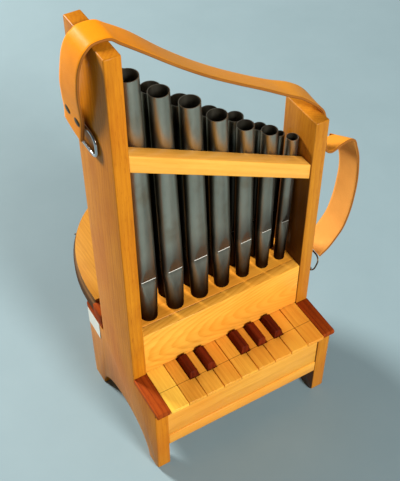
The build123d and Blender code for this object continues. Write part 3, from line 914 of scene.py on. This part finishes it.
def bellows():
    """The plate with its peg, the leather, and the bottom board flush with the side boards."""
    plate = softened("bellows_top_board", plate_round)
    piece = finished("bellows_plate", plate, ("plate", "brass", "fold"), "bellows_lid",
                     replaces=["bellows_top_board"])
    wide, deep = bellows_half + plate_edge, bellows_back + plate_edge - bellows_middle
    for face in piece.data.polygons:
        x, y = (face.center.x - case_middle) / MM, (face.center.y - uprights_front) / MM
        if y > bellows_middle and hypot(x / wide, (y - bellows_middle) / deep) > 1.0:
            face.material_index = 1
        elif abs(face.normal.z) < nearly_upright:
            face.material_index = 2
    low, high = case_box("bellows_bottom_board")
    sides = [(-outer, low[1]), (-outer, base_back)], [(outer, base_back), (outer, low[1])]
    outline = sides[0] + bellows_outline(0.0)[2:-2] + sides[1]
    finished("bellows_bottom_board_dressed", slab("bottom board", outline, low[2], high[2]), "mahogany",
             replaces=["bellows_bottom_board"])
    middle_z = (fold_low[2] + fold_high[2]) / 2
    outline = [(x, y, middle_z) for x, y in bellows_outline(-leather_outside)]
    size = {"Height": (fold_high[2] - fold_low[2]) * MM, "Depth": pleat_depth * MM}
    mesh = grown(pleat_shape(), size, path(outline), wall=leather_thickness * MM)
    folds = finished("bellows_leather", mesh, (), None, replaces=["bellows_folds"],
                     smooth_angle=25.0)
    at(0, 0, fold_low[2])
    at(0, 0, fold_high[2])
    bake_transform(folds)


label_depth, label_rise = (84.5, 114.5), (98.0, 124.0)
label_gap, label_thickness, label_lift, label_corner = 0.15, 0.2, 0.9, 1.3


def label():
    """A blank scrap of paper, lifting a little at its lower corner."""
    bm = bmesh.new()
    (y0, y1), (z0, z1), count = label_depth, label_rise, 12
    rows = []
    for i in range(count + 1):
        row = []
        for j in range(count + 1):
            u, v = i / count, j / count
            lift = label_lift * max(0.0, 2 - u - v - label_corner) ** 2
            row.append(bm.verts.new(at(-outer - label_gap - lift, y0 + (y1 - y0) * u, z0 + (z1 - z0) * v)))
        rows.append(row)
    for a, b in zip(rows, rows[1:]):
        for j in range(count):
            bm.faces.new((a[j], b[j], b[j + 1], a[j + 1]))
    mesh = mesh_from("label", bm)
    holder = holding("label_sheet", mesh)
    sheet = holder.modifiers.new("sheet", "SOLIDIFY")
    sheet.thickness, sheet.offset = label_thickness * MM, 0.0
    finished("paper_label", applied(holder), "paper")


# Floor, light and camera

floor_half, floor_near, floor_far = 30.0, 1.0, 4.5
aim = (0, 0, 250)


def lamp(name, place, size, power, colour):
    """A soft round lamp, aimed at the middle of the case."""
    light = bpy.data.lights.new(name, "AREA")
    light.shape, light.size, light.energy, light.color = "DISK", size, power, colour
    holder = bpy.data.objects.new(name, light)
    holder.location = at(*place)
    holder.rotation_euler = (at(*aim) - at(*place)).to_track_quat("-Z", "Y").to_euler()
    bpy.context.scene.collection.objects.link(holder)


def surroundings():
    """A plain pale floor, paler far out with painted light, a dim even sky and two soft lamps."""
    bm = bmesh.new()
    bmesh.ops.create_grid(bm, x_segments=1, y_segments=1, size=floor_half)
    mesh = bpy.data.meshes.new("floor")
    bm.to_mesh(mesh)
    bm.free()
    floor = bpy.data.objects.new("floor", mesh)
    bpy.context.scene.collection.objects.link(floor)
    f = Finish("pale floor")
    x, y, z = f.place()
    cloud = f.noise(f.vector(x, y, z), 9.0, 4.0, 0.6)
    near = f.mix(cloud, (0.214, 0.304, 0.336), (0.250, 0.347, 0.381))
    # painted light: the floor's colour grows paler from 1 m to 4.5 m out, making up for the lamps' falloff
    reach = (x * x + y * y).math("SQRT")
    tone = f.mix(reach.smooth(floor_near, floor_far), near, (0.62, 0.70, 0.74))
    f.set(Base_Color=tone, Roughness=0.7)
    mesh.materials.append(f.material)

    world = bpy.data.worlds.new("studio")
    bpy.context.scene.world = world
    world.use_nodes = True
    backdrop = world.node_tree.nodes["Background"]
    backdrop.inputs["Color"].default_value = (0.62, 0.68, 0.70, 1.0)
    backdrop.inputs["Strength"].default_value = 0.12

    lamp("back left light", (-1400, 3200, 2080), 0.9, 285.0, (1.0, 0.97, 0.92))
    lamp("front light", (430, -3300, 2200), 1.05, 185.0, (1.0, 0.98, 0.95))


fit_camera = {"place": (-338.2, -529.4, 947.6), "yaw": 30.17, "pitch": 46.78, "roll": 0.18,
              "focal_px": 911.8}
photo_height = 481.0
sensor = 36.0


def camera():
    """The camera that the photo's straight edges gave."""
    yaw, pitch, roll = (radians(fit_camera[k]) for k in ("yaw", "pitch", "roll"))
    forward = Vector((sin(yaw) * cos(pitch), cos(yaw) * cos(pitch), -sin(pitch)))
    right = Vector((cos(yaw), -sin(yaw), 0.0))
    down = forward.cross(right)
    right, down = cos(roll) * right + sin(roll) * down, cos(roll) * down - sin(roll) * right
    data = bpy.data.cameras.new("camera")
    data.sensor_fit, data.sensor_width, data.sensor_height = "AUTO", sensor, sensor
    data.lens = fit_camera["focal_px"] / photo_height * sensor
    data.clip_start, data.clip_end = 0.05, 100.0
    holder = bpy.data.objects.new("camera", data)
    turn = Matrix((right, -down, -forward)).transposed().to_4x4()
    holder.matrix_world = Matrix.Translation(at(*fit_camera["place"])) @ turn
    bpy.context.scene.collection.objects.link(holder)
    bpy.context.scene.camera = holder


bpy.context.scene.view_settings.view_transform = "Standard"
surroundings()
camera()
dress_boards()
dress_keys()
dress_pipes()
strap()
fittings()
bellows()
label()
